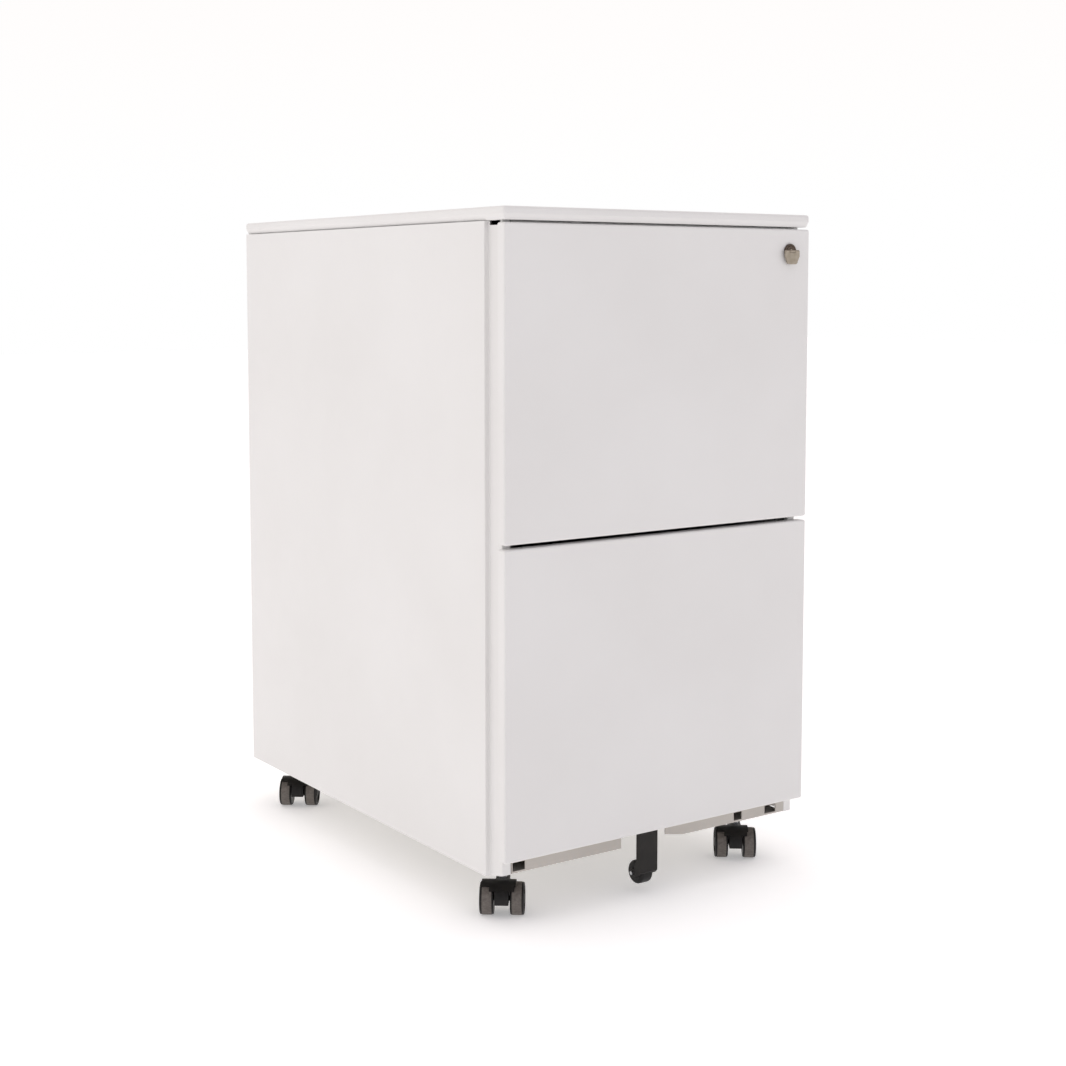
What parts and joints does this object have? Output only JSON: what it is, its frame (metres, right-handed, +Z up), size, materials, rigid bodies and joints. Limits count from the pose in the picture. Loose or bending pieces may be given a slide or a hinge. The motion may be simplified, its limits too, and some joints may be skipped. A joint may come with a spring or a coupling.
{
  "type": "filing cabinet",
  "caption": "White steel mobile filing pedestal with full-width file drawers over twin-wheel casters, side finger grooves, a gang lock and an anti-tip wheel under the lower drawer.",
  "frame": {"origin": "on the ground under the middle of the whole object's box, folded key included", "axes": "+Z up, the drawer fronts face -Y, +X is the right-hand side seen from the front"},
  "size_m": [0.38, 0.5498, 0.685],
  "materials": {
    "white_powder_coat": "fine-textured satin white powder coat on sheet steel",
    "zinc_plated_steel": "bright zinc plating on slides, stems and lock hardware",
    "nickel_chrome": "polished nickel-chrome lock and folding key",
    "black_nylon": "satin black moulded nylon caster hoods",
    "grey_tread": "dark warm grey hard tread of the twin wheels",
    "black_painted_steel": "black enamel on the anti-tip wheel's folded bracket"
  },
  "bodies": {
    "cabinet": {"top_panel": "white_powder_coat", "left_side_panel": "white_powder_coat", "right_side_panel": "white_powder_coat", "back_panel": "white_powder_coat", "bottom_panel": "white_powder_coat", "top_rail": "white_powder_coat", "left_front_upright": "white_powder_coat", "left_rear_upright": "white_powder_coat", "right_front_upright": "white_powder_coat", "right_rear_upright": "white_powder_coat", "upper_left_cabinet_member": "zinc_plated_steel", "upper_right_cabinet_member": "zinc_plated_steel", "lower_left_cabinet_member": "zinc_plated_steel", "lower_right_cabinet_member": "zinc_plated_steel", "upper_bar_guide": "zinc_plated_steel", "lower_bar_guide": "zinc_plated_steel", "front_left_stem": "zinc_plated_steel", "front_right_stem": "zinc_plated_steel", "back_left_stem": "zinc_plated_steel", "back_right_stem": "zinc_plated_steel"},
    "upper_middle_slides": {"upper_left_middle_member": "zinc_plated_steel", "upper_right_middle_member": "zinc_plated_steel"},
    "lower_middle_slides": {"lower_left_middle_member": "zinc_plated_steel", "lower_right_middle_member": "zinc_plated_steel"},
    "upper_drawer": {"upper_drawer_front": "white_powder_coat", "upper_drawer_liner": "white_powder_coat", "upper_drawer_tub": "white_powder_coat", "upper_drawer_tub_back": "white_powder_coat", "upper_left_drawer_member": "zinc_plated_steel", "upper_right_drawer_member": "zinc_plated_steel", "lock_barrel": "nickel_chrome", "lock_nut": "zinc_plated_steel"},
    "lower_drawer": {"lower_drawer_front": "white_powder_coat", "lower_drawer_liner": "white_powder_coat", "lower_drawer_tub": "white_powder_coat", "lower_drawer_tub_back": "white_powder_coat", "lower_left_drawer_member": "zinc_plated_steel", "lower_right_drawer_member": "zinc_plated_steel", "lower_lock_catch": "zinc_plated_steel", "fifth_wheel_bracket": "black_painted_steel", "fifth_wheel_axle": "zinc_plated_steel"},
    "lock_cylinder": {"lock_plug": "nickel_chrome", "lock_cam": "zinc_plated_steel", "key_shank": "nickel_chrome"},
    "key_bow": {"key_bow": "nickel_chrome"},
    "lock_bar": {"lock_bar": "zinc_plated_steel", "lock_bar_lug": "zinc_plated_steel"},
    "fifth_wheel": {"fifth_wheel": "grey_tread"},
    "front_left_caster": {"front_left_hood": "black_nylon"},
    "front_left_left_wheel": {"front_left_left_wheel": "grey_tread"},
    "front_left_right_wheel": {"front_left_right_wheel": "grey_tread"},
    "front_right_caster": {"front_right_hood": "black_nylon"},
    "front_right_left_wheel": {"front_right_left_wheel": "grey_tread"},
    "front_right_right_wheel": {"front_right_right_wheel": "grey_tread"},
    "back_left_caster": {"back_left_hood": "black_nylon"},
    "back_left_left_wheel": {"back_left_left_wheel": "grey_tread"},
    "back_left_right_wheel": {"back_left_right_wheel": "grey_tread"},
    "back_right_caster": {"back_right_hood": "black_nylon"},
    "back_right_left_wheel": {"back_right_left_wheel": "grey_tread"},
    "back_right_right_wheel": {"back_right_right_wheel": "grey_tread"}
  },
  "joints": [
    {"name": "upper_drawer_slide", "type": "slide", "parent": "cabinet", "child": "upper_drawer", "axis": [0, -1, 0], "range_m": [0, 0.44]},
    {"name": "upper_middle_slide", "type": "slide", "parent": "cabinet", "child": "upper_middle_slides", "axis": [0, -1, 0], "range_m": [0, 0.22]},
    {"name": "lower_drawer_slide", "type": "slide", "parent": "cabinet", "child": "lower_drawer", "axis": [0, -1, 0], "range_m": [0, 0.44]},
    {"name": "lower_middle_slide", "type": "slide", "parent": "cabinet", "child": "lower_middle_slides", "axis": [0, -1, 0], "range_m": [0, 0.22]},
    {"name": "lock_turn", "type": "hinge", "parent": "upper_drawer", "child": "lock_cylinder", "pos_m": [0.1618, -0.2701, 0.6474], "axis": [0, -1, 0], "range_deg": [0, 90]},
    {"name": "key_fold", "type": "hinge", "parent": "lock_cylinder", "child": "key_bow", "pos_m": [0.1618, -0.274, 0.6474], "axis": [-1, 0, 0], "range_deg": [0, 90]},
    {"name": "lock_bar_lift", "type": "slide", "parent": "cabinet", "child": "lock_bar", "axis": [0, 0, 1], "range_m": [0, 0.008]},
    {"name": "front_left_swivel", "type": "hinge", "parent": "cabinet", "child": "front_left_caster", "pos_m": [-0.15, -0.2071, 0.033], "axis": [0, 0, 1], "continuous": true},
    {"name": "front_left_left_roll", "type": "hinge", "parent": "front_left_caster", "child": "front_left_left_wheel", "pos_m": [-0.15722, -0.21668, 0.016], "axis": [0.7986, -0.6018, 0], "continuous": true},
    {"name": "front_left_right_roll", "type": "hinge", "parent": "front_left_caster", "child": "front_left_right_wheel", "pos_m": [-0.15722, -0.21668, 0.016], "axis": [0.7986, -0.6018, 0], "continuous": true},
    {"name": "front_right_swivel", "type": "hinge", "parent": "cabinet", "child": "front_right_caster", "pos_m": [0.15, -0.2071, 0.033], "axis": [0, 0, 1], "continuous": true},
    {"name": "front_right_left_roll", "type": "hinge", "parent": "front_right_caster", "child": "front_right_left_wheel", "pos_m": [0.14278, -0.21668, 0.016], "axis": [0.7986, -0.6018, 0], "continuous": true},
    {"name": "front_right_right_roll", "type": "hinge", "parent": "front_right_caster", "child": "front_right_right_wheel", "pos_m": [0.14278, -0.21668, 0.016], "axis": [0.7986, -0.6018, 0], "continuous": true},
    {"name": "back_left_swivel", "type": "hinge", "parent": "cabinet", "child": "back_left_caster", "pos_m": [-0.15, 0.2269, 0.033], "axis": [0, 0, 1], "continuous": true},
    {"name": "back_left_left_roll", "type": "hinge", "parent": "back_left_caster", "child": "back_left_left_wheel", "pos_m": [-0.15722, 0.21732, 0.016], "axis": [0.7986, -0.6018, 0], "continuous": true},
    {"name": "back_left_right_roll", "type": "hinge", "parent": "back_left_caster", "child": "back_left_right_wheel", "pos_m": [-0.15722, 0.21732, 0.016], "axis": [0.7986, -0.6018, 0], "continuous": true},
    {"name": "back_right_swivel", "type": "hinge", "parent": "cabinet", "child": "back_right_caster", "pos_m": [0.15, 0.2269, 0.033], "axis": [0, 0, 1], "continuous": true},
    {"name": "back_right_left_roll", "type": "hinge", "parent": "back_right_caster", "child": "back_right_left_wheel", "pos_m": [0.14278, 0.21732, 0.016], "axis": [0.7986, -0.6018, 0], "continuous": true},
    {"name": "back_right_right_roll", "type": "hinge", "parent": "back_right_caster", "child": "back_right_right_wheel", "pos_m": [0.14278, 0.21732, 0.016], "axis": [0.7986, -0.6018, 0], "continuous": true},
    {"name": "fifth_wheel_roll", "type": "hinge", "parent": "lower_drawer", "child": "fifth_wheel", "pos_m": [-0.0052, -0.2411, 0.0203], "axis": [1, 0, 0], "continuous": true}
  ],
  "couplings": [
    {"joint": "upper_middle_slide", "follows": "upper_drawer_slide", "ratio": 0.5},
    {"joint": "lower_middle_slide", "follows": "lower_drawer_slide", "ratio": 0.5},
    {"joint": "lock_turn", "follows": "lock_bar_lift", "rad_per_m": 196.35}
  ]
}
